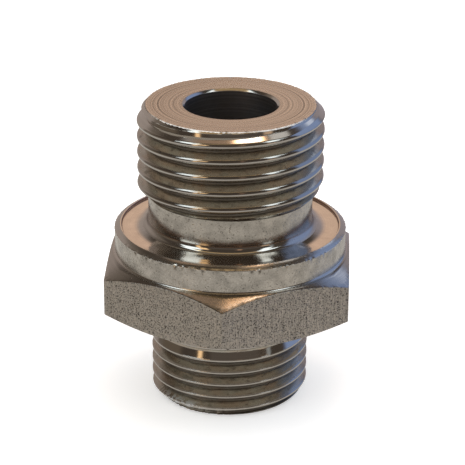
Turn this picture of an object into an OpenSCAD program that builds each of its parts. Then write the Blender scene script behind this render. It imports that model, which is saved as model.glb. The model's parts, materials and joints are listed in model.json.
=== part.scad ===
// Unequal hex nipple: a parallel G 1/2 stud with a metal sealing rim at the
// top, and an M18 x 1.5 end with a 24 degree cone for 12 mm tube at the
// bottom. The real fitting is turned from one bar, so the nodes are its
// machined sections. They meet face to face on flat planes and cylinders.
// The axis is Z. The tube end's face is at z = 0 and the stud points up.

/* [Lengths along the axis] */
// Tube end, from its face to the underside of the hexagon
tube_end_len = 10.8; // [10:0.1:14]
// Hexagon and collar together, from the underside of the hexagon to the sealing rim
body_len = 9.5; // [8.5:0.1:12]
// Stud, from the sealing rim to its end face
stud_len = 14; // [12:0.1:18]

/* [Bores] */
// Diameter of the bore that runs right through
bore_d = 10.2; // [8:0.1:11]
// Width of the bevel that breaks the bore's edge at the stud's face
bore_edge = 0.25; // [0.1:0.05:0.5]
// Diameter of the socket that takes the 12 mm tube
socket_d = 12.2; // [12.1:0.05:12.4]
// Depth of the socket, from the tube end's face to the stop
socket_depth = 7; // [6.5:0.1:8]
// Diameter of the 24 degree cone at its mouth
cone_mouth_d = 14.4; // [13.8:0.1:14.8]

/* [Stud thread] */
// Crest diameter of the stud's parallel pipe thread
stud_crest_d = 20.8; // [20.67:0.01:20.95]
// Root diameter of the stud's thread
stud_root_d = 18.6; // [18.4:0.01:18.7]
// Turns of the stud's thread in 25.4 mm
stud_tpi = 14; // [14:1:14]

/* [Tube end thread] */
// Crest diameter of the tube end's thread
tube_crest_d = 17.86; // [17.7:0.01:17.96]
// Root diameter of the tube end's thread
tube_root_d = 16.1; // [15.9:0.01:16.2]
// Pitch of the tube end's thread
tube_pitch = 1.5; // [1.5:0.1:1.5]

/* [Relief neck] */
// Diameter of the plain neck between the stud's thread and the collar
neck_d = 18.4; // [18:0.05:18.5]
// Length of the neck, from the sealing rim to the stud's thread
neck_len = 3.75; // [3:0.05:4.5]
// Radius of the fillet at the foot of the neck
neck_fillet = 0.6; // [0.4:0.1:1.4]

/* [Collar and hexagon] */
// Diameter of the round collar
collar_d = 26; // [25:0.1:27]
// Diameter of the sealing rim
rim_d = 24.8; // [24:0.1:24.9]
// Depth of the dished face inside the sealing rim
dish_depth = 0.25; // [0.1:0.05:0.4]
// Length of the collar's cylinder
collar_band = 2.36; // [1.6:0.02:2.5]
// Width of the hexagon across its flats
hex_af = 27; // [26.8:0.1:28]
// Slope of the bevel on the hexagon's top corners, in degrees
hex_top_slope = 27; // [20:1:30]
// Slope of the bevel on the hexagon's bottom corners, in degrees
hex_bottom_slope = 22.5; // [20:0.5:30]

/* [Hidden] */

$fn = 96;

// Radii
bore_r = bore_d / 2;
socket_r = socket_d / 2;
mouth_r = cone_mouth_d / 2;
stud_crest_r = stud_crest_d / 2;
stud_root_r = stud_root_d / 2;
tube_crest_r = tube_crest_d / 2;
tube_root_r = tube_root_d / 2;
neck_r = neck_d / 2;
collar_r = collar_d / 2;
rim_r = rim_d / 2;
hex_corner_r = hex_af / 2 / cos(30);

// Heights of the planes between the sections
hex_bottom_z = tube_end_len;
rim_z = hex_bottom_z + body_len;
neck_top_z = rim_z + neck_len;
stud_top_z = rim_z + stud_len;
dish_z = rim_z - dish_depth;

// The hexagon runs up to the foot of the collar, which flares out a little
collar_flare = 0.3;
rim_drop = 0.44;
rim_land = 0.15;
band_top_z = rim_z - rim_drop;
band_bottom_z = band_top_z - collar_band;
hex_top_z = band_bottom_z - collar_flare;

// Washer face under the hexagon
washer_r = 0.475 * hex_af;

// Threads: steps in a turn, and where each helix is at angle 0 on +X
steps = 72;
stud_pitch = 25.4 / stud_tpi;
stud_helix_z = stud_top_z - 2.71;
tube_helix_z = 5.98;
whitworth_half_angle = 27.5;
metric_half_angle = 30;
stud_crest_flat = 0.3;
tube_crest_flat = 0.19;
thread_clear = 0.004;
ridge_start = 0.15;
ridge_min_h = 0.08;

// Ridge height at height z: full, or less where the end bevels cut it down
function ridge_h(z, z_lo, z_hi, full, run_lo, run_hi) =
  max(ridge_min_h, full * min(1, (z - z_lo) / run_lo, (z_hi - z) / run_hi));

// One cross-section of the ridge, set round the axis at the angle a.
// Its four corners are foot, crest, crest and foot, from low to high.
function ridge_ring(a, z, h, foot_r, foot_half, tan_flank, z_lo, z_hi) =
  let (
    crest_half = foot_half - h * tan_flank,
    r = [foot_r, foot_r + h, foot_r + h, foot_r],
    rise = [-foot_half, -crest_half, crest_half, foot_half]
  )
  [for (k = [0:3]) [
    r[k] * cos(a),
    r[k] * sin(a),
    min(max(z + rise[k], z_lo), z_hi)
  ]];

// A screw thread: one helical ridge on a core of radius core_r, from z_lo to
// z_hi. It fades out over run_lo and run_hi at its two ends.
module thread_ridge(core_r, crest_r, pitch, crest_flat, half_angle, helix_z, z_lo, z_hi, run_lo, run_hi) {
  tan_flank = tan(half_angle);
  foot_r = core_r / cos(180 / steps) + thread_clear;
  full = crest_r - foot_r;
  foot_half = crest_flat / 2 + full * tan_flank;
  rise = pitch / steps;
  first = ceil((z_lo + ridge_start - helix_z) / rise);
  last = floor((z_hi - ridge_start - helix_z) / rise) - 1;
  count = last - first + 1;
  points = [
    for (i = [first:last])
      let (z = helix_z + (i + 0.5) * rise)
      each ridge_ring(
        (i + 0.5) * 360 / steps,
        z,
        ridge_h(z, z_lo, z_hi, full, run_lo, run_hi),
        foot_r,
        foot_half,
        tan_flank,
        z_lo,
        z_hi
      )
  ];
  sides = [
    for (i = [0:count - 2], k = [0:3])
      let (m = (k + 1) % 4)
      [4 * i + k, 4 * i + m, 4 * i + 4 + m, 4 * i + 4 + k]
  ];
  end = 4 * (count - 1);
  polyhedron(points, concat([[3, 2, 1, 0], [end, end + 1, end + 2, end + 3]], sides), convexity = 10);
}

module stud_core() {
  color("tan")
    rotate_extrude()
      polygon([
        [bore_r, neck_top_z],
        [stud_root_r, neck_top_z],
        [stud_root_r, stud_top_z],
        [bore_r + bore_edge, stud_top_z],
        [bore_r, stud_top_z - bore_edge]
      ]);
}

module stud_thread() {
  color("darkkhaki")
    thread_ridge(
      core_r = stud_root_r,
      crest_r = stud_crest_r,
      pitch = stud_pitch,
      crest_flat = stud_crest_flat,
      half_angle = whitworth_half_angle,
      helix_z = stud_helix_z,
      z_lo = neck_top_z,
      z_hi = stud_top_z,
      run_lo = stud_crest_r - stud_root_r,
      run_hi = stud_crest_r - stud_root_r
    );
}

module relief_neck() {
  foot_r = neck_r + neck_fillet;
  color("silver")
    rotate_extrude()
      difference() {
        translate([bore_r, dish_z])
          square([foot_r - bore_r, neck_top_z - dish_z]);
        translate([foot_r, dish_z + neck_fillet])
          circle(r = neck_fillet);
        translate([neck_r, dish_z + neck_fillet])
          square([2 * neck_fillet, neck_len + dish_depth]);
      }
}

module sealing_collar() {
  foot_r = collar_r + collar_flare;
  color("tan")
    rotate_extrude()
      difference() {
        polygon([
          [bore_r, hex_top_z],
          [foot_r, hex_top_z],
          [foot_r, band_bottom_z],
          [collar_r, band_bottom_z],
          [collar_r, band_top_z],
          [rim_r, rim_z],
          [rim_r - rim_land, rim_z],
          [rim_r - rim_land, dish_z],
          [bore_r, dish_z]
        ]);
        translate([foot_r, band_bottom_z])
          circle(r = collar_flare);
      }
}

module wrench_hex() {
  top_fall = (hex_corner_r - collar_r - collar_flare) * tan(hex_top_slope);
  bottom_rise = (hex_corner_r - washer_r) * tan(hex_bottom_slope);
  color("gray")
    intersection() {
      translate([0, 0, hex_bottom_z])
        difference() {
          rotate([0, 0, 30])
            cylinder(r = hex_corner_r, h = hex_top_z - hex_bottom_z, $fn = 6);
          translate([0, 0, -1])
            cylinder(r = bore_r, h = hex_top_z - hex_bottom_z + 2);
        }
      rotate_extrude()
        polygon([
          [0, hex_bottom_z],
          [washer_r, hex_bottom_z],
          [hex_corner_r, hex_bottom_z + bottom_rise],
          [hex_corner_r, hex_top_z - top_fall],
          [collar_r + collar_flare, hex_top_z],
          [0, hex_top_z]
        ]);
    }
}

module tube_end_core() {
  cone_depth = (mouth_r - socket_r) / tan(12);
  color("tan")
    rotate_extrude()
      polygon([
        [mouth_r, 0],
        [tube_root_r, 0],
        [tube_root_r, hex_bottom_z],
        [bore_r, hex_bottom_z],
        [bore_r, socket_depth],
        [socket_r, socket_depth],
        [socket_r, cone_depth]
      ]);
}

module tube_end_thread() {
  color("darkkhaki")
    thread_ridge(
      core_r = tube_root_r,
      crest_r = tube_crest_r,
      pitch = tube_pitch,
      crest_flat = tube_crest_flat,
      half_angle = metric_half_angle,
      helix_z = tube_helix_z,
      z_lo = 0,
      z_hi = hex_bottom_z - 0.8,
      run_lo = tube_crest_r - tube_root_r,
      run_hi = tube_crest_r - tube_root_r
    );
}

stud_core();
stud_thread();
relief_neck();
sealing_collar();
wrench_hex();
tube_end_core();
tube_end_thread();
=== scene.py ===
"""Looks of the unequal hex nipple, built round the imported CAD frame.

Shapes are worked out in millimetres from the CAD nodes' boxes and the record's
bores, and written to Blender in metres. Every piece stands for one CAD node.
"""
import json
import math

import bmesh
import bpy
import numpy as np
from mathutils import Matrix, Vector


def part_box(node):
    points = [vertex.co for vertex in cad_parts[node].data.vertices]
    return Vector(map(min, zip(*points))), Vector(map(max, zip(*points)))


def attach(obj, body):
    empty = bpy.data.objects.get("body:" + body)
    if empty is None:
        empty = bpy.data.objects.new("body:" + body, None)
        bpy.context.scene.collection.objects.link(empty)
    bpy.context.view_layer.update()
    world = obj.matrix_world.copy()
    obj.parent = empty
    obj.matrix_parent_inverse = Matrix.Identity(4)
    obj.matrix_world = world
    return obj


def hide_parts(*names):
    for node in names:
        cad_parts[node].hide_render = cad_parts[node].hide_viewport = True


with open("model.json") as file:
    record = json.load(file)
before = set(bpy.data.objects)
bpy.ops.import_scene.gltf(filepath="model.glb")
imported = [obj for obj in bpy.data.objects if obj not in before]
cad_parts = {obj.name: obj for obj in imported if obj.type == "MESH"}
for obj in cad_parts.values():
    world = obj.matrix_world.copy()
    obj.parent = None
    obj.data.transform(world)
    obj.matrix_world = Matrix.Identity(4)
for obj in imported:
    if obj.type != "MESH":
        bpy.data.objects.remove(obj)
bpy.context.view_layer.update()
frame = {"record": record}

MM = 0.001
TAU = 2 * math.pi

# ---------------------------------------------------------------- sizes, mm


def node_box(node):
    """Lowest and highest corner of a CAD node, in millimetres."""
    low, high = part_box(node)
    return low / MM, high / MM


def bore_radius(mount):
    """Radius of a bore that the record states, in millimetres."""
    mounts = {m["name"]: m for m in frame["record"]["mounts"]}
    return mounts[mount]["dims"]["r_mm"]


stud_low, stud_high = node_box("stud_core")
_, thread_high = node_box("stud_thread")
neck_low, neck_high = node_box("relief_neck")
collar_low, collar_high = node_box("sealing_collar")
hex_low, hex_high = node_box("wrench_hex")
_, tube_high = node_box("tube_end_core")
_, tube_thread_high = node_box("tube_end_thread")

BORE_R = bore_radius("through_bore")
SOCKET_R = bore_radius("tube_socket")
TOP_Z = stud_high.z
NECK_TOP_Z = stud_low.z
DISH_Z = neck_low.z
RIM_Z = collar_high.z
HEX_TOP_Z = collar_low.z
HEX_BOTTOM_Z = hex_low.z
STUD_CREST_R = thread_high.x
STUD_ROOT_R = stud_high.x
COLLAR_FOOT_R = collar_high.x
HEX_HALF = hex_high.x
HEX_CORNER_R = hex_high.y
TUBE_CREST_R = tube_thread_high.x
TUBE_ROOT_R = tube_high.x
TUBE_THREAD_TOP_Z = tube_thread_high.z

# The fillets at the foot of the neck and of the collar, which are a node's widest place
NECK_FILLET = 0.6
NECK_R = neck_high.x - NECK_FILLET
COLLAR_FLARE = 0.3
COLLAR_R = COLLAR_FOOT_R - COLLAR_FLARE

# The stud's turned face, and the bevel that breaks the bore's edge there
FACE_R = 9.4
BORE_EDGE = 0.25

# The collar's sealing rim, and how far below it the collar's side begins
RIM_R = 12.4
RIM_LAND = 0.15
RIM_DROP = 0.44

# Where the dished face starts to sweep up towards the neck, and how far it rises
FOOT_START_R = 11.2
FOOT_RISE = 0.21

# The washer face under the hexagon, and the slopes of the hexagon's bevels
WASHER_R = 0.475 * 2 * HEX_HALF
HEX_TOP_SLOPE = math.radians(27)
HEX_BOTTOM_SLOPE = math.radians(22.5)

# The hidden end for the tube: its stop, and the mouth and half angle of its cone
SOCKET_DEPTH = 7.0
MOUTH_R = 7.2
CONE_HALF_ANGLE = math.radians(12)

# Each thread's pitch, and the height of a crest on +X and of the same crest on -Y
STUD_PITCH = 25.4 / 14
STUD_HELIX_Z = TOP_Z - 2.71
STUD_CREST_Z = STUD_HELIX_Z - STUD_PITCH / 4
TUBE_PITCH = 1.5
TUBE_HELIX_Z = 5.98
TUBE_CREST_Z = TUBE_HELIX_Z - TUBE_PITCH / 4

# The plain cone where the tube end's thread runs out: its height, and its fall for each mm of rise
RUN_OUT = 1.0
RUN_OUT_FALL = 0.27

# Where the lower end carries a rolled burr, as an angle from +X
BURR_ANGLE = math.radians(-90 - 31)

# ---------------------------------------------------------------- outlines


def rounded(points, radii, closed=True, turn=math.radians(10), steps=None):
    """A polyline's corners replaced by arcs of the given radii, mm, in steps pieces or by turn."""
    made = []
    count = len(points)
    for i, point in enumerate(points):
        p = np.array(point, float)
        r = radii[i]
        if r <= 0 or (not closed and i in (0, count - 1)):
            made.append(tuple(p))
            continue
        to_last = np.array(points[i - 1], float) - p
        to_next = np.array(points[(i + 1) % count], float) - p
        reach = min(np.linalg.norm(to_last), np.linalg.norm(to_next))
        a = to_last / np.linalg.norm(to_last)
        b = to_next / np.linalg.norm(to_next)
        half = math.acos(max(-1.0, min(1.0, float(a @ b)))) / 2
        cut = min(r / math.tan(half), 0.49 * reach)
        r = cut * math.tan(half)
        bisector = (a + b) / np.linalg.norm(a + b)
        centre = p + bisector * (r / math.sin(half))
        start = p + a * cut - centre
        end = p + b * cut - centre
        sweep = math.pi - 2 * half
        side = math.copysign(1.0, start[0] * end[1] - start[1] * end[0])
        pieces = steps or max(2, math.ceil(sweep / turn))
        for k in range(pieces + 1):
            t = side * sweep * k / pieces
            c, s = math.cos(t), math.sin(t)
            made.append(tuple(centre + np.array([c * start[0] - s * start[1], s * start[0] + c * start[1]])))
    return made


def dense(points, step, closed=True):
    """The same polyline with no stretch longer than step, and short stretches at its corners."""
    made = []
    count = len(points)
    for i in range(count if closed else count - 1):
        a = np.array(points[i], float)
        b = np.array(points[(i + 1) % count], float)
        length = np.linalg.norm(b - a)
        made.append(tuple(a))
        pieces = math.ceil(length / step)
        edge = min(0.05, length / 4)
        cuts = [edge / length] if pieces > 1 else []
        cuts += [k / pieces for k in range(1, pieces)]
        cuts += [1 - edge / length] if pieces > 1 else []
        made += [tuple(a + (b - a) * t) for t in sorted(set(cuts))]
    if not closed:
        made.append(tuple(points[-1]))
    return made


# ---------------------------------------------------------------- meshes


def finish_mesh(name, bm, sharp=35):
    """An object from a bmesh in millimetres, smooth but for edges sharper than sharp degrees."""
    bmesh.ops.recalc_face_normals(bm, faces=bm.faces)
    mesh = bpy.data.meshes.new(name)
    bm.to_mesh(mesh)
    bm.free()
    mesh.transform(Matrix.Scale(MM, 4))
    mesh.shade_smooth()
    mesh.set_sharp_from_angle(angle=math.radians(sharp))
    obj = bpy.data.objects.new(name, mesh)
    bpy.context.scene.collection.objects.link(obj)
    return obj


def grid_mesh(name, rings, sharp=35, shape=None):
    """A closed tube of rings: rings[column][row] are (x, y, z), closed both ways."""
    points = np.array(rings, float)
    if shape is not None:
        points = shape(points)
    columns, rows = points.shape[:2]
    bm = bmesh.new()
    verts = [bm.verts.new(p) for p in points.reshape(-1, 3)]
    for c in range(columns):
        d = (c + 1) % columns
        for r in range(rows):
            s = (r + 1) % rows
            bm.faces.new((
                verts[c * rows + r],
                verts[d * rows + r],
                verts[d * rows + s],
                verts[c * rows + s],
            ))
    return finish_mesh(name, bm, sharp)


def revolve(name, outline, columns=360, sharp=35, shape=None):
    """A closed outline of (radius, height) turned round the Z axis."""
    rings = []
    for k in range(columns):
        c, s = math.cos(TAU * k / columns), math.sin(TAU * k / columns)
        rings.append([(r * c, r * s, z) for r, z in outline])
    return grid_mesh(name, rings, sharp, shape)


def thread_profile(pitch, crest_r, root_r, half_angle, crest_flat, crest_round, root_round):
    """One pitch of a thread as (offset along the axis, radius), from root to root."""
    depth = crest_r - root_r
    slope = depth * math.tan(math.radians(half_angle))
    root_half = (pitch - crest_flat) / 2 - slope
    corners = [
        (-pitch / 2, root_r),
        (-pitch / 2 + root_half, root_r),
        (-crest_flat / 2, crest_r),
        (crest_flat / 2, crest_r),
        (pitch / 2 - root_half, root_r),
        (pitch / 2, root_r),
    ]
    radii = [0, root_round, crest_round, crest_round, root_round, 0]
    return dense(rounded(corners, radii, closed=False, turn=math.radians(9)), 0.09, closed=False)[:-1]


def round_profile(pitch, crest_r, root_r, half_angle, crest_round, root_round):
    """One pitch of a thread with round crests, as (offset along the axis, radius)."""
    half = math.radians(half_angle)
    apex_r = crest_r + crest_round * (1 / math.sin(half) - 1)
    foot = (apex_r - root_r) * math.tan(half)
    corners = [(-pitch / 2, root_r), (-foot, root_r), (0, apex_r), (foot, root_r), (pitch / 2, root_r)]
    radii = [0, root_round, crest_round, root_round, 0]
    return dense(rounded(corners, radii, closed=False, turn=math.radians(7)), 0.09, closed=False)[:-1]


def in_fixed_order(bm):
    """The same bmesh with its faces sorted, because bridging adds them in an order that varies."""
    bm.verts.index_update()
    faces = []
    for face in bm.faces:
        corners = [v.index for v in face.verts]
        # a quad may start at either end of the diagonal that splits it
        if len(corners) == 4 and corners[2] < corners[0]:
            corners = corners[2:] + corners[:2]
        faces.append(corners)
    made = bmesh.new()
    verts = [made.verts.new(v.co) for v in bm.verts]
    for corners in sorted(faces, key=sorted):
        made.faces.new([verts[i] for i in corners])
    bm.free()
    return made


def thread_skin(name, pitch, profile, helix_z, z_low, z_high, limit, inner_r, columns=480, shape=None):
    """A helical thread between two planes, on a plain inner wall of radius inner_r.

    helix_z is a crest's height on +X. limit gives the largest radius at each height.
    """
    first = math.floor((z_low - helix_z) / pitch) - 2
    last = math.ceil((z_high - helix_z) / pitch) + 2
    offsets = np.array([u + turn * pitch for turn in range(first, last) for u, _ in profile])
    radii = np.array([r for _ in range(first, last) for _, r in profile])
    rows, step = len(offsets), len(profile)
    angle = TAU * np.arange(columns) / columns
    z = helix_z + offsets[None, :] + pitch * (angle[:, None] / TAU)
    r = np.minimum(radii[None, :], limit(z))
    if shape is not None:
        r, z = shape(angle[:, None] + 0 * z, r, z)
    x, y = r * np.cos(angle)[:, None], r * np.sin(angle)[:, None]
    bm = bmesh.new()
    verts = [bm.verts.new(p) for p in np.stack([x, y, z], axis=-1).reshape(-1, 3)]
    for c in range(columns):
        d, shift = (c + 1, 0) if c + 1 < columns else (0, step)
        for i in range(rows - 1 - shift):
            bm.faces.new((
                verts[c * rows + i],
                verts[d * rows + i + shift],
                verts[d * rows + i + 1 + shift],
                verts[c * rows + i + 1],
            ))
    for height, keep in ((z_high, -1), (z_low, 1)):
        geometry = bm.verts[:] + bm.edges[:] + bm.faces[:]
        bmesh.ops.bisect_plane(
            bm, geom=geometry, dist=1e-5, plane_co=(0, 0, height), plane_no=(0, 0, -keep), clear_outer=True
        )
    loose = [v for v in bm.verts if not v.link_faces]
    bmesh.ops.delete(bm, geom=loose, context="VERTS")
    inner = []
    for height in (z_low, z_high):
        rim = [e for e in bm.edges if e.is_boundary and abs(sum(v.co.z for v in e.verts) / 2 - height) < 0.02]
        made = bmesh.ops.extrude_edge_only(bm, edges=rim)["geom"]
        for v in (g for g in made if isinstance(g, bmesh.types.BMVert)):
            flat = Vector((v.co.x, v.co.y, 0)).normalized() * inner_r
            v.co = (flat.x, flat.y, height)
        inner += [g for g in made if isinstance(g, bmesh.types.BMEdge) and g.is_boundary]
    bmesh.ops.bridge_loops(bm, edges=inner)
    bmesh.ops.recalc_face_normals(bm, faces=bm.faces)
    return finish_mesh(name, in_fixed_order(bm))


# ---------------------------------------------------------------- pieces


def ragged(angle, seed, waves=40, finest=150):
    """A repeatable rough curve round the axis, about -1 to 1, with a few deep nicks below."""
    rng = np.random.default_rng(seed)
    total = 0 * angle
    for _ in range(waves):
        total = total + np.sin(rng.integers(3, finest) * angle + rng.uniform(0, TAU))
    total = total / math.sqrt(waves)
    for _ in range(9):
        away = np.angle(np.exp(1j * (angle - rng.uniform(0, TAU))))
        total = total - 2.2 * np.exp(-((away / rng.uniform(0.006, 0.018)) ** 2))
    return total


def near_edge(r, z, edge_r, edge_z, reach):
    """1 at an edge, falling to 0 at reach millimetres from it."""
    return np.clip(1 - np.hypot(r - edge_r, z - edge_z) / reach, 0, 1)


def make_stud_core():
    """The bored core with its faced end, whose outer edge carries a fine rolled burr."""
    core_r = STUD_ROOT_R - 0.15
    outline = [
        (BORE_R, NECK_TOP_Z),
        (core_r, NECK_TOP_Z),
        (core_r, TOP_Z - 0.3),
        (FACE_R + 0.02, TOP_Z - 0.17),
        (FACE_R + 0.09, TOP_Z - 0.1),
        (FACE_R + 0.05, TOP_Z),
        (BORE_R + BORE_EDGE, TOP_Z),
        (BORE_R, TOP_Z - BORE_EDGE),
    ]
    radii = [0, 0, 0, 0, 0.05, 0.05, 0.06, 0.12]

    def shape(points):
        x, y, z = points[..., 0], points[..., 1], points[..., 2]
        r, angle = np.hypot(x, y), np.arctan2(y, x)
        rough = ragged(angle, seed=3)
        grow = near_edge(r, z, FACE_R + 0.07, TOP_Z - 0.05, 0.16) * rough * 0.022
        low = np.minimum(rough, 0) * near_edge(r, z, FACE_R + 0.05, TOP_Z, 0.1) * 0.03
        return np.stack([x * (1 + grow / r), y * (1 + grow / r), z + low], axis=-1)

    return revolve("stud_core_turned", dense(rounded(outline, radii), 0.6), columns=900, shape=shape)


def make_stud_thread():
    """The stud's thread, cut back by the bevels at its two ends."""
    profile = round_profile(STUD_PITCH, STUD_CREST_R, STUD_ROOT_R, 27.5, 0.38, 0.07)
    wear_depth = 0.12
    lead_in_height = 0.9

    def limit(z):
        top = FACE_R + TOP_Z - z
        bottom = NECK_R + z - NECK_TOP_Z
        return np.maximum(np.minimum(top, bottom), NECK_R)

    def shape(angle, r, z):
        lead_in = FACE_R + 0.16 * (TOP_Z - z)
        r = np.where(z > TOP_Z - lead_in_height, np.maximum(r, lead_in), r)
        worn = np.clip((r - STUD_CREST_R + wear_depth) / wear_depth, 0, 1)
        turn = np.floor(z / STUD_PITCH - angle / TAU)
        rough = ragged(angle + 2.4 * turn, seed=11, waves=24, finest=40)
        return r + worn * (rough - 1) * 0.004, z

    return thread_skin(
        "stud_thread_cut",
        STUD_PITCH,
        profile,
        STUD_HELIX_Z,
        NECK_TOP_Z,
        TOP_Z - 0.05,
        limit,
        STUD_ROOT_R - 0.3,
        columns=720,
        shape=shape,
    )


def foot_rise(r):
    """How far the dished face sweeps up at radius r, before the neck's own fillet takes over."""
    foot_r = NECK_R + NECK_FILLET
    return FOOT_RISE * ((FOOT_START_R - r) / (FOOT_START_R - foot_r)) ** 2


def make_neck():
    """The neck, with a fillet that carries on from the sweep of the dished face."""
    steps = 24
    foot_r = NECK_R + NECK_FILLET
    slope = math.atan(2 * FOOT_RISE / (FOOT_START_R - foot_r))
    last = math.radians(90) - slope
    fillet_r = NECK_FILLET / (1 - math.cos(last))
    centre_z = DISH_Z + FOOT_RISE + fillet_r * math.sin(last)
    fillet = []
    for k in range(steps + 1):
        t = last * (1 - k / steps)
        fillet.append((NECK_R + fillet_r * (1 - math.cos(t)), centre_z - fillet_r * math.sin(t)))
    outline = [(BORE_R, DISH_Z), (foot_r, DISH_Z), *fillet, (NECK_R, NECK_TOP_Z), (BORE_R, NECK_TOP_Z)]
    return revolve("relief_neck_turned", dense(outline, 0.6))


def make_collar():
    """The collar: a dished face in a raised rim, a bevel with a fine burr, and a flared foot."""
    band_top = RIM_Z - RIM_DROP
    crown = 0.036
    flare_r = 0.24
    under_neck_r = NECK_R + NECK_FILLET - 0.03
    flare = []
    for k in range(7):
        t = math.radians(90) * (1 - k / 6)
        flare.append((COLLAR_R + flare_r * (1 - math.cos(t)), HEX_TOP_Z + flare_r * (1 - math.sin(t))))
    sweep = []
    for k in range(13):
        r = FOOT_START_R + (under_neck_r - FOOT_START_R) * k / 12
        sweep.append((r, DISH_Z + foot_rise(r)))
    bevel_foot = np.array((COLLAR_R - 0.03, band_top + 0.07))
    bevel_head = np.array((RIM_R, RIM_Z))
    run, rise = bevel_head - bevel_foot
    outwards = np.array((rise, -run)) / math.hypot(run, rise)
    top = [
        (COLLAR_R, band_top - 0.03),
        (COLLAR_R + 0.035, band_top + 0.03),
        tuple(bevel_foot),
        tuple((bevel_foot + bevel_head) / 2 + crown * outwards),
        tuple(bevel_head),
        (RIM_R - RIM_LAND, RIM_Z),
        (RIM_R - RIM_LAND - 0.05, DISH_Z),
    ]
    outline = [(BORE_R, HEX_TOP_Z), *flare, *top, *sweep, (under_neck_r, DISH_Z), (BORE_R, DISH_Z)]
    radii = [0] * (1 + len(flare)) + [0.02, 0.03, 0.02, 2.0, 0.06, 0.04, 0.06] + [0] * (len(sweep) + 2)

    def shape(points):
        x, y, z = points[..., 0], points[..., 1], points[..., 2]
        r, angle = np.hypot(x, y), np.arctan2(y, x)
        rough = ragged(angle, seed=5)
        burr = near_edge(r, z, COLLAR_R + 0.02, band_top + 0.02, 0.14)
        rim = near_edge(r, z, RIM_R, RIM_Z, 0.12)
        grow = burr * rough * 0.028 - rim * np.maximum(rough, 0) * 0.012
        return np.stack([x * (1 + grow / r), y * (1 + grow / r), z], axis=-1)

    dotted = dense(rounded(outline, radii), 0.6)
    return revolve("sealing_collar_turned", dotted, columns=900, shape=shape)


def hex_outline(corner_round, step=0.12):
    """Points round the hexagon's plan, corners at +Y and -Y, as (angle, radius)."""
    corners = []
    for k in range(6):
        a = math.radians(30 + 60 * k)
        corners.append((HEX_CORNER_R * math.cos(a), HEX_CORNER_R * math.sin(a)))
    points = dense(rounded(corners, [corner_round] * 6, turn=math.radians(8)), step)
    return [(math.atan2(y, x), math.hypot(x, y)) for x, y in points]


def make_hex():
    """The hexagon, bevelled at both ends, with slightly chipped edges along its top bevel."""
    rings = []
    for a, r in hex_outline(0.07):
        chip = float(ragged(np.array(a), seed=31, waves=30, finest=260)) * 0.014
        inset = COLLAR_FOOT_R + max(0.5 * (r - COLLAR_FOOT_R), r - COLLAR_FOOT_R - 0.16)
        outline = [
            (BORE_R, HEX_BOTTOM_Z),
            (WASHER_R, HEX_BOTTOM_Z),
            (r, HEX_BOTTOM_Z + (r - WASHER_R) * math.tan(HEX_BOTTOM_SLOPE)),
            (r, HEX_TOP_Z - (r - COLLAR_FOOT_R) * math.tan(HEX_TOP_SLOPE) + chip - 0.02),
            (inset, HEX_TOP_Z - (inset - COLLAR_FOOT_R) * math.tan(HEX_TOP_SLOPE)),
            (COLLAR_FOOT_R, HEX_TOP_Z),
            (BORE_R, HEX_TOP_Z),
        ]
        profile = rounded(outline, [0, 0.1, 0.05, 0.03, 0, 0, 0], steps=4)
        spaced = []
        for i, (p, q) in enumerate(zip(profile, profile[1:] + profile[:1])):
            pieces = 12 if abs(p[1] - q[1]) > 3 else 4 if i in (0, len(profile) - 3) else 1
            for k in range(pieces):
                spaced.append((p[0] + (q[0] - p[0]) * k / pieces, p[1] + (q[1] - p[1]) * k / pieces))
        rings.append([(pr * math.cos(a), pr * math.sin(a), pz) for pr, pz in spaced])
    return grid_mesh("wrench_hex_drawn", rings)


def make_tube_core():
    """The bored lower end, with the cone and the socket that take the tube."""
    cone_depth = (MOUTH_R - SOCKET_R) / math.tan(CONE_HALF_ANGLE)
    core_r = TUBE_ROOT_R - 0.08
    outline = [
        (MOUTH_R, 0),
        (core_r, 0),
        (core_r, HEX_BOTTOM_Z),
        (BORE_R, HEX_BOTTOM_Z),
        (BORE_R, SOCKET_DEPTH),
        (SOCKET_R, SOCKET_DEPTH),
        (SOCKET_R, cone_depth),
    ]
    radii = [0.08, 0.05, 0, 0, 0.08, 0.1, 0.3]
    return revolve("tube_end_turned", dense(rounded(outline, radii), 0.6))


def make_tube_thread():
    """The tube end's thread: it runs out in a shallow cone, and its end bevel has a rolled burr."""
    profile = thread_profile(TUBE_PITCH, TUBE_CREST_R, TUBE_ROOT_R, 30, 0.19, 0.06, 0.2)
    end_r = 8.0
    wear_depth = 0.1

    def limit(z):
        bottom = end_r + z
        top = TUBE_ROOT_R + TUBE_THREAD_TOP_Z - z
        return np.maximum(np.minimum(top, bottom), TUBE_ROOT_R - 0.05)

    def shape(angle, r, z):
        from_front = np.angle(np.exp(1j * (angle + math.pi / 2)))
        rise = z - TUBE_CREST_Z - TUBE_PITCH * (1 + from_front / TAU)
        fade = np.clip((math.pi - np.abs(from_front)) / 0.6, 0, 1)
        cone = TUBE_CREST_R - 0.02 - RUN_OUT_FALL * np.minimum(rise, RUN_OUT) - 1.2 * (1 - fade)
        on_cone = (rise > 0.04) & (rise < TUBE_PITCH)
        r = np.where(on_cone, np.maximum(r, cone), r)
        rough = ragged(angle, seed=23)
        side = np.exp(-((np.angle(np.exp(1j * (angle - BURR_ANGLE))) / 0.5) ** 2))
        low = np.clip(1.5 - z, 0, 1)
        burr = side * low * (0.14 + 0.07 * rough)
        worn = np.clip((r - TUBE_CREST_R + wear_depth) / wear_depth, 0, 1)
        grown = r + burr + worn * rough * 0.004 - worn * 0.005
        return np.minimum(grown, TUBE_CREST_R), z

    return thread_skin(
        "tube_thread_cut",
        TUBE_PITCH,
        profile,
        TUBE_HELIX_Z,
        0.03,
        TUBE_THREAD_TOP_Z,
        limit,
        TUBE_ROOT_R - 0.3,
        columns=720,
        shape=shape,
    )


# ---------------------------------------------------------------- node helpers


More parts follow.
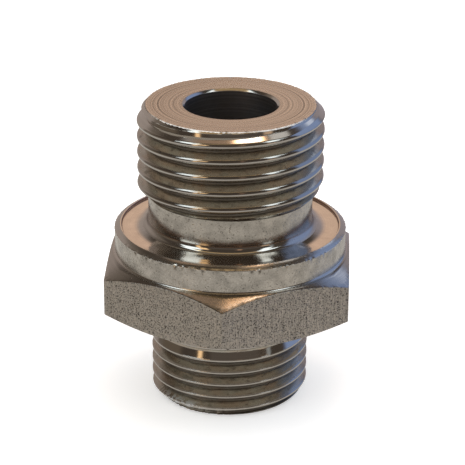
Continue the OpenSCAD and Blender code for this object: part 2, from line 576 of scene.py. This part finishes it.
class Graph:
    """Short calls that add nodes to a material's or world's tree and return sockets."""

    def __init__(self, tree):
        self.tree = tree

    def node(self, kind, **settings):
        made = self.tree.nodes.new(kind)
        for key, value in settings.items():
            setattr(made, key, value)
        return made

    def feed(self, socket, value):
        """Link a socket, or set a number or colour."""
        if isinstance(value, bpy.types.NodeSocket):
            self.tree.links.new(value, socket)
        elif isinstance(value, tuple) and socket.type == "RGBA":
            socket.default_value = (*value, 1)
        else:
            socket.default_value = value

    def math(self, operation, *values):
        made = self.node("ShaderNodeMath", operation=operation)
        for socket, value in zip(made.inputs, values):
            self.feed(socket, value)
        return made.outputs[0]

    def add(self, *values):
        total = values[0]
        for value in values[1:]:
            total = self.math("ADD", total, value)
        return total

    def times(self, *values):
        total = values[0]
        for value in values[1:]:
            total = self.math("MULTIPLY", total, value)
        return total

    def split(self, vector):
        made = self.node("ShaderNodeSeparateXYZ")
        self.feed(made.inputs[0], vector)
        return made.outputs[0], made.outputs[1], made.outputs[2]

    def stretch(self, vector, factors):
        """A vector with each coordinate multiplied by its factor."""
        made = self.node("ShaderNodeVectorMath", operation="MULTIPLY")
        self.feed(made.inputs[0], vector)
        self.feed(made.inputs[1], factors)
        return made.outputs[0]

    def ramp(self, value, low, high, at_low=0.0, at_high=1.0):
        """A smooth step of value from at_low at low to at_high at high."""
        made = self.node("ShaderNodeMapRange", interpolation_type="SMOOTHSTEP")
        names = ("Value", "From Min", "From Max", "To Min", "To Max")
        for name, put in zip(names, (value, low, high, at_low, at_high)):
            self.feed(made.inputs[name], put)
        return made.outputs["Result"]

    def band(self, value, low, high, blur):
        """1 where value is between low and high, 0 outside, with soft edges."""
        rise = self.ramp(value, low - blur, low + blur)
        fall = self.ramp(value, high - blur, high + blur, 1.0, 0.0)
        return self.times(rise, fall)

    def mix(self, share, a, b, kind="RGBA"):
        """Colour or number a where share is 0 and b where it is 1."""
        made = self.node("ShaderNodeMix", data_type="RGBA" if kind == "RGBA" else "FLOAT")
        sockets = [i for i in made.inputs if i.enabled]
        for socket, put in zip(sockets, (share, a, b)):
            self.feed(socket, put)
        return next(o for o in made.outputs if o.enabled)

    def blend(self, share, a, b):
        """Number a where share is 0 and b where it is 1."""
        return self.mix(share, a, b, kind="VALUE")

    def noise(self, vector, size, detail=2.0, flatten=(1.0, 1.0, 1.0)):
        """Noise from 0 to 1 whose lumps are about size mm across, shorter along a flattened axis."""
        made = self.node("ShaderNodeTexNoise")
        self.feed(made.inputs["Vector"], self.stretch(vector, tuple(f / size for f in flatten)))
        self.feed(made.inputs["Scale"], 1.0)
        self.feed(made.inputs["Detail"], detail)
        return made.outputs[0]

    def line_noise(self, value, size, detail=2.0):
        """Noise that changes only with one coordinate, as turning marks do."""
        made = self.node("ShaderNodeTexNoise", noise_dimensions="1D")
        self.feed(made.inputs["W"], self.times(value, 1.0 / size))
        self.feed(made.inputs["Scale"], 1.0)
        self.feed(made.inputs["Detail"], detail)
        return made.outputs[0]

    def pits(self, vector, spacing, radius, share, flatten=(1.0, 1.0, 1.0)):
        """1 in small round pits, 0 between them. A share of the cells has a pit at all."""
        made = self.node("ShaderNodeTexVoronoi")
        self.feed(made.inputs["Vector"], self.stretch(vector, tuple(f / spacing for f in flatten)))
        self.feed(made.inputs["Scale"], 1.0)
        chance = self.split(made.outputs["Color"])[0]
        reach = self.times(chance, radius / spacing / share)
        core, rim = self.times(reach, 0.55), self.times(reach, 1.1)
        inside = self.ramp(made.outputs["Distance"], core, rim, 1.0, 0.0)
        return self.times(inside, self.math("LESS_THAN", chance, share))


class Spot:
    """Where a shading point is on the fitting, in millimetres."""

    def __init__(self, g):
        self.place = g.stretch(g.node("ShaderNodeTexCoord").outputs["Object"], (1 / MM, 1 / MM, 1 / MM))
        self.x, self.y, self.z = g.split(self.place)
        self.r = g.math("SQRT", g.add(g.times(self.x, self.x), g.times(self.y, self.y)))
        # angle round the axis, 0 at -Y, rising towards +X
        self.angle = g.math("ARCTAN2", self.x, g.times(self.y, -1.0))
        self.up = g.split(g.node("ShaderNodeNewGeometry").outputs["Normal"])[2]


# ---------------------------------------------------------------- materials

STEEL = (0.6, 0.565, 0.52)
DARK_BROWN = (0.07, 0.055, 0.045)


def metal(name, finish):
    """Bare steel. finish(g, spot) gives its colour, roughness and surface height in microns.

    It may also give how far the surface mirrors, from 0 for torn and scattering to 1 for metal.
    """
    material = bpy.data.materials.new(name)
    material.use_nodes = True
    tree = material.node_tree
    g = Graph(tree)
    shader = tree.nodes["Principled BSDF"]
    color, roughness, height, *mirror = finish(g, Spot(g))
    g.feed(shader.inputs["Base Color"], color)
    g.feed(shader.inputs["Roughness"], roughness)
    g.feed(shader.inputs["Metallic"], mirror[0] if mirror else 1.0)
    bump = g.node("ShaderNodeBump")
    bump.inputs["Distance"].default_value = 1e-6
    g.feed(bump.inputs["Height"], height)
    tree.links.new(bump.outputs[0], shader.inputs["Normal"])
    return material


def shade(g, color, factor):
    """A colour multiplied by a number that changes over the surface."""
    made = g.node("ShaderNodeVectorMath", operation="SCALE")
    g.feed(made.inputs[0], color)
    g.feed(made.inputs["Scale"], factor)
    return made.outputs[0]


def polished(g, spot, base, roughness, marked=1.0):
    """Fine turned steel: faint rings, hairline scratches and a few specks, more where marked is high."""
    rings = g.line_noise(g.add(spot.r, spot.z), 0.12, 3.0)
    hair = g.noise(spot.place, 0.5, 4.0, (1.0, 1.0, 5.0))
    specks = g.pits(spot.place, 0.7, 0.08, 0.4)
    tone = g.add(0.9, g.times(rings, 0.12), g.times(hair, 0.08), g.times(specks, -0.5))
    rough = g.add(roughness, g.times(hair, 0.07), g.times(specks, 0.2))
    height = g.add(g.times(rings, 1.2 * marked), g.times(hair, 1.0 * marked), g.times(specks, -8.0))
    return shade(g, base, tone), rough, height


def matte(g, spot, base, roughness, speckle=1.0):
    """Steel peened grey by handling: soft blotches, fine grain and many small dark pits."""
    cloud = g.ramp(g.noise(spot.place, 1.3, 4.0), 0.3, 0.7)
    grain = g.noise(spot.place, 0.2, 2.0)
    marks = g.ramp(g.noise(spot.place, 0.19, 1.0), 0.24, 0.36, 1.0, 0.0)
    big = g.pits(spot.place, 2.2, 0.2, 0.2)
    clean = g.add(0.51, g.times(cloud, 0.32), g.times(grain, 0.5))
    tone = g.add(clean, g.times(marks, -0.55 * speckle), g.times(big, -0.5))
    height = g.add(g.times(grain, 7.0), g.times(marks, -14.0), g.times(big, -25.0))
    return shade(g, base, tone), g.add(roughness, g.times(grain, 0.1)), height


def layer(g, share, under, over):
    """One finish laid over another where share is 1."""
    color = g.mix(share, under[0], over[0])
    return color, g.blend(share, under[1], over[1]), g.blend(share, under[2], over[2])


def faced_finish(g, spot):
    """The stud: a faced end with turning rings and a painted sheen, a bright bore edge, a pale painted glint
    on the front of its burr, and a dark bore.
    """
    feed = 0.3
    rings = g.line_noise(spot.r, 0.24, 3.0)
    feed_marks = g.math("SINE", g.times(spot.r, TAU / feed))
    grain = g.noise(spot.place, 0.13, 2.0)
    strength = g.ramp(g.math("ABSOLUTE", g.math("SINE", spot.angle)), 0.2, 0.9, 0.4, 1.0)
    # painted sheen: side and the front-and-back term paint the face lighter on the right and at front and
    # back, darker on the left, as light falls on its rings
    side = g.times(g.math("SINE", spot.angle), 0.05)
    painted_sheen_front_back = g.times(g.math("COSINE", g.times(spot.angle, 2.0)), 0.045)
    ringed = g.add(g.times(g.add(rings, -0.5), 1.7), g.times(feed_marks, 0.13))
    tone = g.add(0.74, side, painted_sheen_front_back, g.times(ringed, strength), g.times(grain, 0.32))
    face_height = g.add(g.times(rings, 9.0), g.times(feed_marks, 2.0), g.times(grain, 2.5))
    face = (shade(g, STEEL, tone), g.add(0.22, g.times(grain, 0.1)), face_height)
    edge = polished(g, spot, STEEL, 0.08)
    bore_rings = g.line_noise(spot.z, 0.2, 3.0)
    bore_tone = g.add(0.5, g.times(bore_rings, 0.5))
    bore_rough = g.add(0.3, g.times(bore_rings, 0.2))
    bore = (shade(g, (0.55, 0.53, 0.53), bore_tone), bore_rough, g.times(bore_rings, 8.0))
    made = layer(g, g.ramp(spot.r, BORE_R + BORE_EDGE - 0.02, BORE_R + BORE_EDGE + 0.05), edge, face)
    # painted highlight: on the front of the face the burr is coloured pale and made half metal, so that it
    # shows as a glint
    torn = g.noise(spot.place, 0.5, 3.0)
    burr = (shade(g, (0.95, 0.93, 0.9), g.add(0.45, g.times(torn, 1.0))), 0.42, g.times(torn, 20.0))
    painted_burr_glint = g.times(g.ramp(spot.r, FACE_R - 0.03, FACE_R + 0.01), g.ramp(spot.z, TOP_Z - 0.2, TOP_Z - 0.14))
    painted_burr_glint = g.times(painted_burr_glint, g.ramp(g.math("COSINE", spot.angle), 0.3, 0.75))
    made = layer(g, painted_burr_glint, made, burr)
    mirror = g.add(1.0, g.times(painted_burr_glint, -0.75))
    return *layer(g, g.ramp(spot.r, BORE_R + 0.03, BORE_R + 0.01), made, bore), mirror


def neck_finish(g, spot):
    """The neck: matte, turning to a polished fillet at its foot."""
    upper = matte(g, spot, (0.515, 0.48, 0.43), 0.14, 0.7)
    sides = g.math("ABSOLUTE", g.math("SINE", spot.angle))
    lower = polished(g, spot, STEEL, g.ramp(sides, 0.6, 0.92, 0.06, 0.28), 0.2)
    wander = g.times(g.add(g.noise(spot.place, 1.2, 2.0), -0.5), 0.5)
    share = g.ramp(g.add(spot.z, wander), DISH_Z + 0.95, DISH_Z + 1.45, 1.0, 0.0)
    return layer(g, share, upper, lower)


def collar_finish(g, spot):
    """The collar: a polished dished face and bevel, painted shade in the rim's step, dull and rust-brown, and
    a matte band.
    """
    face = polished(g, spot, STEEL, 0.14)
    dish = polished(g, spot, STEEL, 0.07, 0.1)
    blotch = g.noise(spot.place, 1.3, 4.0)
    freckles = g.ramp(g.noise(spot.place, 0.24, 1.0), 0.24, 0.35, 1.0, 0.0)
    dish = (shade(g, dish[0], g.add(0.8, g.times(blotch, 0.42), g.times(freckles, -0.1))), dish[1], dish[2])
    face = layer(g, g.ramp(spot.r, RIM_R - 0.2, RIM_R - 0.8), face, dish)
    step_r = RIM_R - RIM_LAND
    # painted shade: a dull rust-brown ring, made less metallic, is coloured into the rim's step
    step = g.band(spot.r, step_r - 0.11, step_r + 0.02, 0.02)
    step = g.times(step, g.math("LESS_THAN", spot.z, RIM_Z - 0.03))
    face = layer(g, g.times(step, 0.9), face, ((0.42, 0.22, 0.13), 0.5, 0.0))
    band = matte(g, spot, (0.56, 0.525, 0.475), 0.2, 0.3)
    side = g.band(spot.z, HEX_TOP_Z + COLLAR_FLARE - 0.05, RIM_Z - RIM_DROP - 0.08, 0.05)
    side = g.times(side, g.math("GREATER_THAN", spot.r, RIM_R + 0.2))
    # the rim's step, where shade is painted, is less metallic
    return *layer(g, side, face, band), g.add(1.0, g.times(step, -0.8))


def drawn_finish(g, spot):
    """The hexagon: flats as drawn, dark and pitted, and bright turned bevels."""
    grain = g.noise(spot.place, 0.2, 2.0, (1.0, 1.0, 0.7))
    lines = g.noise(spot.place, 0.16, 3.0, (1.0, 1.0, 0.08))
    right = g.ramp(spot.x, -4.0, 7.0)
    marks = g.ramp(g.noise(spot.place, 0.14, 1.0), 0.31, 0.49, 1.0, 0.0)
    big = g.pits(spot.place, 1.3, 0.2, 0.3)
    cloud = g.noise(spot.place, 3.0, 2.0)
    tone = g.add(
        0.67,
        g.times(grain, 1.0),
        g.times(g.add(lines, -0.5), g.blend(right, 0.4, 1.4)),
        g.times(cloud, 0.24),
        g.times(marks, -0.95),
        g.times(big, -0.5),
    )
    height = g.add(g.times(grain, 30.0), g.times(lines, 14.0), g.times(marks, -35.0), g.times(big, -50.0))
    flat = (shade(g, (0.44, 0.405, 0.365), tone), g.add(0.42, g.times(grain, 0.1)), height)
    bevel = polished(g, spot, (0.54, 0.505, 0.465), 0.13, 2.5)
    return layer(g, g.ramp(g.math("ABSOLUTE", spot.up), 0.4, 0.55), flat, bevel)


def thread_finish(crest_r, root_r, pitch, crest_z, bright_low, bright_high, flank_tone):
    """A cut thread: olive satin flanks, darker towards the roots, bright crests and one bright turn.

    crest_z is a crest's height on the -Y side. Turns are counted up from it, and the
    flanks from turn bright_low to bright_high are polished. flank_tone is how light the
    other flanks are.
    """

    def finish(g, spot):
        smear = g.noise(spot.place, 1.4, 4.0, (1.0, 1.0, 9.0))
        grain = g.noise(spot.place, 0.14, 2.0)
        marks = g.pits(spot.place, 0.6, 0.08, 0.35)
        # darker towards each root: in smeared patches near it, and in a narrow strip all along it; stains add
        # to the same darkening
        root = g.ramp(spot.r, root_r + 0.08, root_r + 0.36, 1.0, 0.0)
        darkening = g.times(root, g.ramp(smear, 0.45, 0.65))
        darkening = g.math("MAXIMUM", darkening, g.ramp(spot.r, root_r + 0.03, root_r + 0.13, 1.1, 0.0))
        stain = g.ramp(g.noise(spot.place, 0.8, 4.0, (1.0, 1.0, 2.5)), 0.56, 0.68, 0.0, 0.5)
        darkening = g.math("MAXIMUM", darkening, stain)
        rust = g.ramp(g.noise(spot.place, 2.5, 3.0, (1.0, 1.0, 3.0)), 0.42, 0.62)
        tone = g.add(0.62, g.times(smear, 0.45), g.times(grain, 0.3), g.times(marks, -0.4))
        clean = g.mix(rust, (0.55, 0.52, 0.455), (0.555, 0.485, 0.405))
        olive = g.mix(g.times(darkening, 0.55), clean, DARK_BROWN)
        height = g.add(g.times(smear, 4.0), g.times(grain, 4.0), g.times(marks, -12.0))
        rough = g.blend(darkening, g.add(0.17, g.times(smear, 0.12)), 0.5)
        flank = (shade(g, olive, g.times(tone, flank_tone)), rough, height)
        crest = polished(g, spot, (0.5, 0.47, 0.435), 0.08, 0.15)
        nicks = g.pits(spot.place, 1.5, 0.3, 0.3)
        crest = layer(g, g.times(nicks, 0.8), crest, (DARK_BROWN, 0.5, -20.0))
        made = layer(g, g.ramp(spot.r, crest_r - 0.17, crest_r - 0.1), flank, crest)
        # only the tube end comes down this low: shade at its face, and a rolled burr
        under = g.ramp(spot.z, 0.5, 1.0, 0.5, 1.0)
        made = (shade(g, made[0], under), made[1], made[2])
        rolled = g.times(g.band(spot.angle, -0.93, -0.34, 0.15), g.band(spot.z, 0.5, 1.35, 0.15))
        rolled = g.times(rolled, g.ramp(g.noise(spot.place, 0.5, 3.0), 0.44, 0.54))
        made = layer(g, rolled, made, polished(g, spot, (0.8, 0.82, 0.84), 0.4))
        turn = g.add(g.times(g.add(spot.z, -crest_z), 1 / pitch), g.times(spot.angle, -1 / TAU))
        bright = g.band(turn, bright_low, bright_high, 0.04)
        return layer(g, bright, made, polished(g, spot, STEEL, 0.07))

    return finish


def tube_end_finish(g, spot):
    """The tube end: turned faces, and a darker cone and socket."""
    face = polished(g, spot, STEEL, 0.2)
    rings = g.line_noise(spot.z, 0.25, 3.0)
    inside = (shade(g, (0.3, 0.26, 0.22), g.add(0.7, g.times(rings, 0.5))), 0.3, g.times(rings, 8.0))
    return layer(g, g.ramp(spot.r, TUBE_ROOT_R - 0.6, TUBE_ROOT_R - 0.9), face, inside)


stud_thread_finish = thread_finish(STUD_CREST_R, STUD_ROOT_R, STUD_PITCH, STUD_CREST_Z, 1.04, 1.9, 0.93)
tube_thread_finish = thread_finish(TUBE_CREST_R, TUBE_ROOT_R, TUBE_PITCH, TUBE_CREST_Z, 1.02, 1.66, 0.86)

faced = metal("faced_steel", faced_finish)
necked = metal("necked_steel", neck_finish)
collared = metal("collar_steel", collar_finish)
drawn = metal("drawn_steel", drawn_finish)
stud_cut = metal("stud_thread_steel", stud_thread_finish)
tube_cut = metal("tube_thread_steel", tube_thread_finish)
tube_turned = metal("tube_end_steel", tube_end_finish)

PIECES = [
    (make_stud_core, "stud_core", "turned_steel", faced),
    (make_stud_thread, "stud_thread", "threaded_steel", stud_cut),
    (make_neck, "relief_neck", "turned_steel", necked),
    (make_collar, "sealing_collar", "turned_steel", collared),
    (make_hex, "wrench_hex", "drawn_steel", drawn),
    (make_tube_core, "tube_end_core", "turned_steel", tube_turned),
    (make_tube_thread, "tube_end_thread", "threaded_steel", tube_cut),
]
for make, node, slot, material in PIECES:
    piece = make()
    piece.data.materials.append(material)
    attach(piece, "root")
    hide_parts(node)

# ---------------------------------------------------------------- stage

CAMERA_AZIMUTH = math.radians(3.05)
CAMERA_ELEVATION = math.radians(22.69)
CAMERA_DISTANCE = 216.5
CAMERA_ROLL = math.radians(0.374)
CAMERA_LENS = 148.4

# The point that the camera looks at: below the stud's face, and right of the axis
AIM_BELOW_TOP = 15.36
AIM_RIGHT = 0.264


def make_floor():
    """Pale paper, a little lit from within so that the shadow on it stays soft."""
    bpy.ops.mesh.primitive_plane_add(size=3, location=(0, 0, 0))
    floor = bpy.context.object
    floor.name = "floor"
    floor.visible_glossy = False
    material = bpy.data.materials.new("floor_paper")
    material.use_nodes = True
    shader = material.node_tree.nodes["Principled BSDF"]
    shader.inputs["Base Color"].default_value = (0.93, 0.93, 0.93, 1)
    shader.inputs["Roughness"].default_value = 1
    shader.inputs["Specular IOR Level"].default_value = 0
    shader.inputs["Emission Color"].default_value = (1, 1, 1, 1)
    shader.inputs["Emission Strength"].default_value = 0.4
    floor.data.materials.append(material)
    return floor


def make_overhead_light():
    """A broad light for the floor alone, so that the paper is pale and the shadow soft."""
    data = bpy.data.lights.new("floor_light", "AREA")
    data.shape = "SQUARE"
    data.size = 3.4
    data.energy = 34
    light = bpy.data.objects.new("floor_light", data)
    light.location = (0, 0, 1.2)
    light.visible_glossy = False
    bpy.context.scene.collection.objects.link(light)


def studio_panels(g, azimuth, back_azimuth, elevation, over_x, over_y):
    """What stands round the fitting: (share of a panel seen that way, its colour), laid in turn.

    Angles are in degrees. azimuth is 0 towards the camera and rises to its right, and
    back_azimuth is 0 behind the fitting. over_x and over_y are places on a ceiling at
    height 1, to the camera's right and towards it.
    """

    def panel(az_low, az_high, el_low, el_high, blur, around=azimuth):
        return g.times(g.band(around, az_low, az_high, blur), g.band(elevation, el_low, el_high, blur))

    def ceiling(x_low, x_high, y_low, y_high, blur):
        inside = g.times(g.band(over_x, x_low, x_high, blur), g.band(over_y, y_low, y_high, blur))
        return g.times(inside, g.math("GREATER_THAN", elevation, 30.0))

    window = (1.7, 1.9, 2.0)
    lamp = (1.5, 1.02, 0.56)
    return [
        (panel(86, 142, -18, 46, 5), (0.28, 0.38, 0.64)),
        (panel(140, 156, 28, 45, 3), (0.28, 0.37, 0.6)),
        (panel(143, 151, 31, 39, 2), (0.75, 0.86, 1.1)),
        (panel(-150, -108, -12, 40, 6), (0.2, 0.168, 0.14)),
        (panel(-112, -74, -14, 10, 6), (0.15, 0.12, 0.09)),
        (panel(-28, 42, -4, 12, 4), (0.115, 0.095, 0.08)),
        (panel(-53, -6, -15, 30, 5, back_azimuth), (0.42, 0.36, 0.33)),
        (panel(3, 36, -20, 28, 4, back_azimuth), (0.37, 0.33, 0.355)),
        (panel(-10, 10, 12, 33, 4, back_azimuth), (0.82, 0.585, 0.445)),
        (panel(-92, -60, 42, 64, 2), window),
        (panel(-72, -43.5, 20, 42, 1.5), window),
        (panel(50, 88, 42, 64, 2), window),
        (panel(48, 62, 24, 42, 2), window),
        (panel(-43.5, -31, 12, 34, 1.5), lamp),
        (panel(-46, -40, -10, 12, 1.5), lamp),
        (panel(10, 16, 13, 26, 2), (0.6, 0.37, 0.24)),
        (panel(-66, -54, 52, 66, 2), (2.2, 1.9, 1.3)),
        (panel(43, 55, -14, -2, 2), (0.8, 0.58, 0.4)),
        (panel(54, 60, -2, 14, 1.5), (0.36, 0.38, 0.38)),
        (ceiling(-3, 3, -0.1, 0.13, 0.04), (0.05, 0.04, 0.03)),
        (ceiling(-0.5, 0.5, 0.16, 0.42, 0.03), (0.5, 0.36, 0.2)),
        (ceiling(0.285, 0.48, -0.56, -0.3, 0.02), (0.74, 0.73, 0.71)),
        (panel(-44, -33, 56, 72, 3, back_azimuth), (0.36, 0.34, 0.32)),
        (ceiling(0.08, 0.32, -0.18, 0.06, 0.03), (0.5, 0.38, 0.27)),
        (ceiling(-0.45, 0.0, -0.42, -0.18, 0.04), (0.38, 0.265, 0.185)),
        (ceiling(-0.05, 0.02, -0.42, -0.18, 0.05), (0.5, 0.36, 0.24)),
        (ceiling(-0.02, 0.24, -0.42, -0.18, 0.015), (3.2, 1.9, 1.0)),
        (ceiling(0.01, 0.21, -0.34, -0.23, 0.02), (4.5, 4.2, 3.8)),
    ]


def make_world():
    """The studio as a world of soft panels on a dark room, with pale paper low down."""
    world = bpy.data.worlds.new("studio")
    bpy.context.scene.world = world
    world.use_nodes = True
    tree = world.node_tree
    tree.nodes.clear()
    g = Graph(tree)
    x, y, z = g.split(g.node("ShaderNodeTexCoord").outputs["Generated"])
    c, s = math.cos(CAMERA_AZIMUTH), math.sin(CAMERA_AZIMUTH)
    right = g.add(g.times(x, c), g.times(y, s))
    near = g.add(g.times(x, s), g.times(y, -c))
    degrees = math.degrees(1)
    azimuth = g.times(g.math("ARCTAN2", right, near), degrees)
    back_azimuth = g.times(g.math("ARCTAN2", right, g.times(near, -1.0)), degrees)
    elevation = g.times(g.math("ARCSINE", z), degrees)
    up = g.math("MAXIMUM", z, 0.05)
    over_x = g.math("DIVIDE", right, up)
    over_y = g.math("DIVIDE", near, up)
    paper = g.mix(g.ramp(elevation, -55, -38), (0.42, 0.39, 0.35), (0.62, 0.595, 0.55))
    color = g.mix(g.ramp(elevation, -20, -10), paper, (0.075, 0.06, 0.048))
    color = g.mix(g.ramp(elevation, 58, 72), color, (0.185, 0.148, 0.1))
    for share, panel in studio_panels(g, azimuth, back_azimuth, elevation, over_x, over_y):
        color = g.mix(share, color, panel)
    background = g.node("ShaderNodeBackground")
    g.feed(background.inputs["Color"], color)
    g.feed(g.node("ShaderNodeOutputWorld").inputs["Surface"], background.outputs[0])


make_floor()
make_overhead_light()
make_world()
bpy.context.scene.view_settings.view_transform = "Standard"

# ---------------------------------------------------------------- camera


def make_camera():
    """A camera at the photograph's viewpoint."""
    data = bpy.data.cameras.new("camera")
    camera = bpy.data.objects.new("camera", data)
    bpy.context.scene.collection.objects.link(camera)
    a, e = CAMERA_AZIMUTH, CAMERA_ELEVATION
    back = Vector((math.sin(a) * math.cos(e), -math.cos(a) * math.cos(e), math.sin(e)))
    right = Vector((math.cos(a), math.sin(a), 0))
    aim = Vector((0, 0, TOP_Z - AIM_BELOW_TOP)) + right * AIM_RIGHT
    camera.location = (aim + back * CAMERA_DISTANCE) * MM
    turn = (-back).to_track_quat("-Z", "Y").to_matrix() @ Matrix.Rotation(CAMERA_ROLL, 3, "Z")
    camera.rotation_euler = turn.to_euler()
    data.sensor_width = 36
    data.lens = CAMERA_LENS
    data.clip_start = 0.01
    data.clip_end = 10
    bpy.context.scene.camera = camera


make_camera()
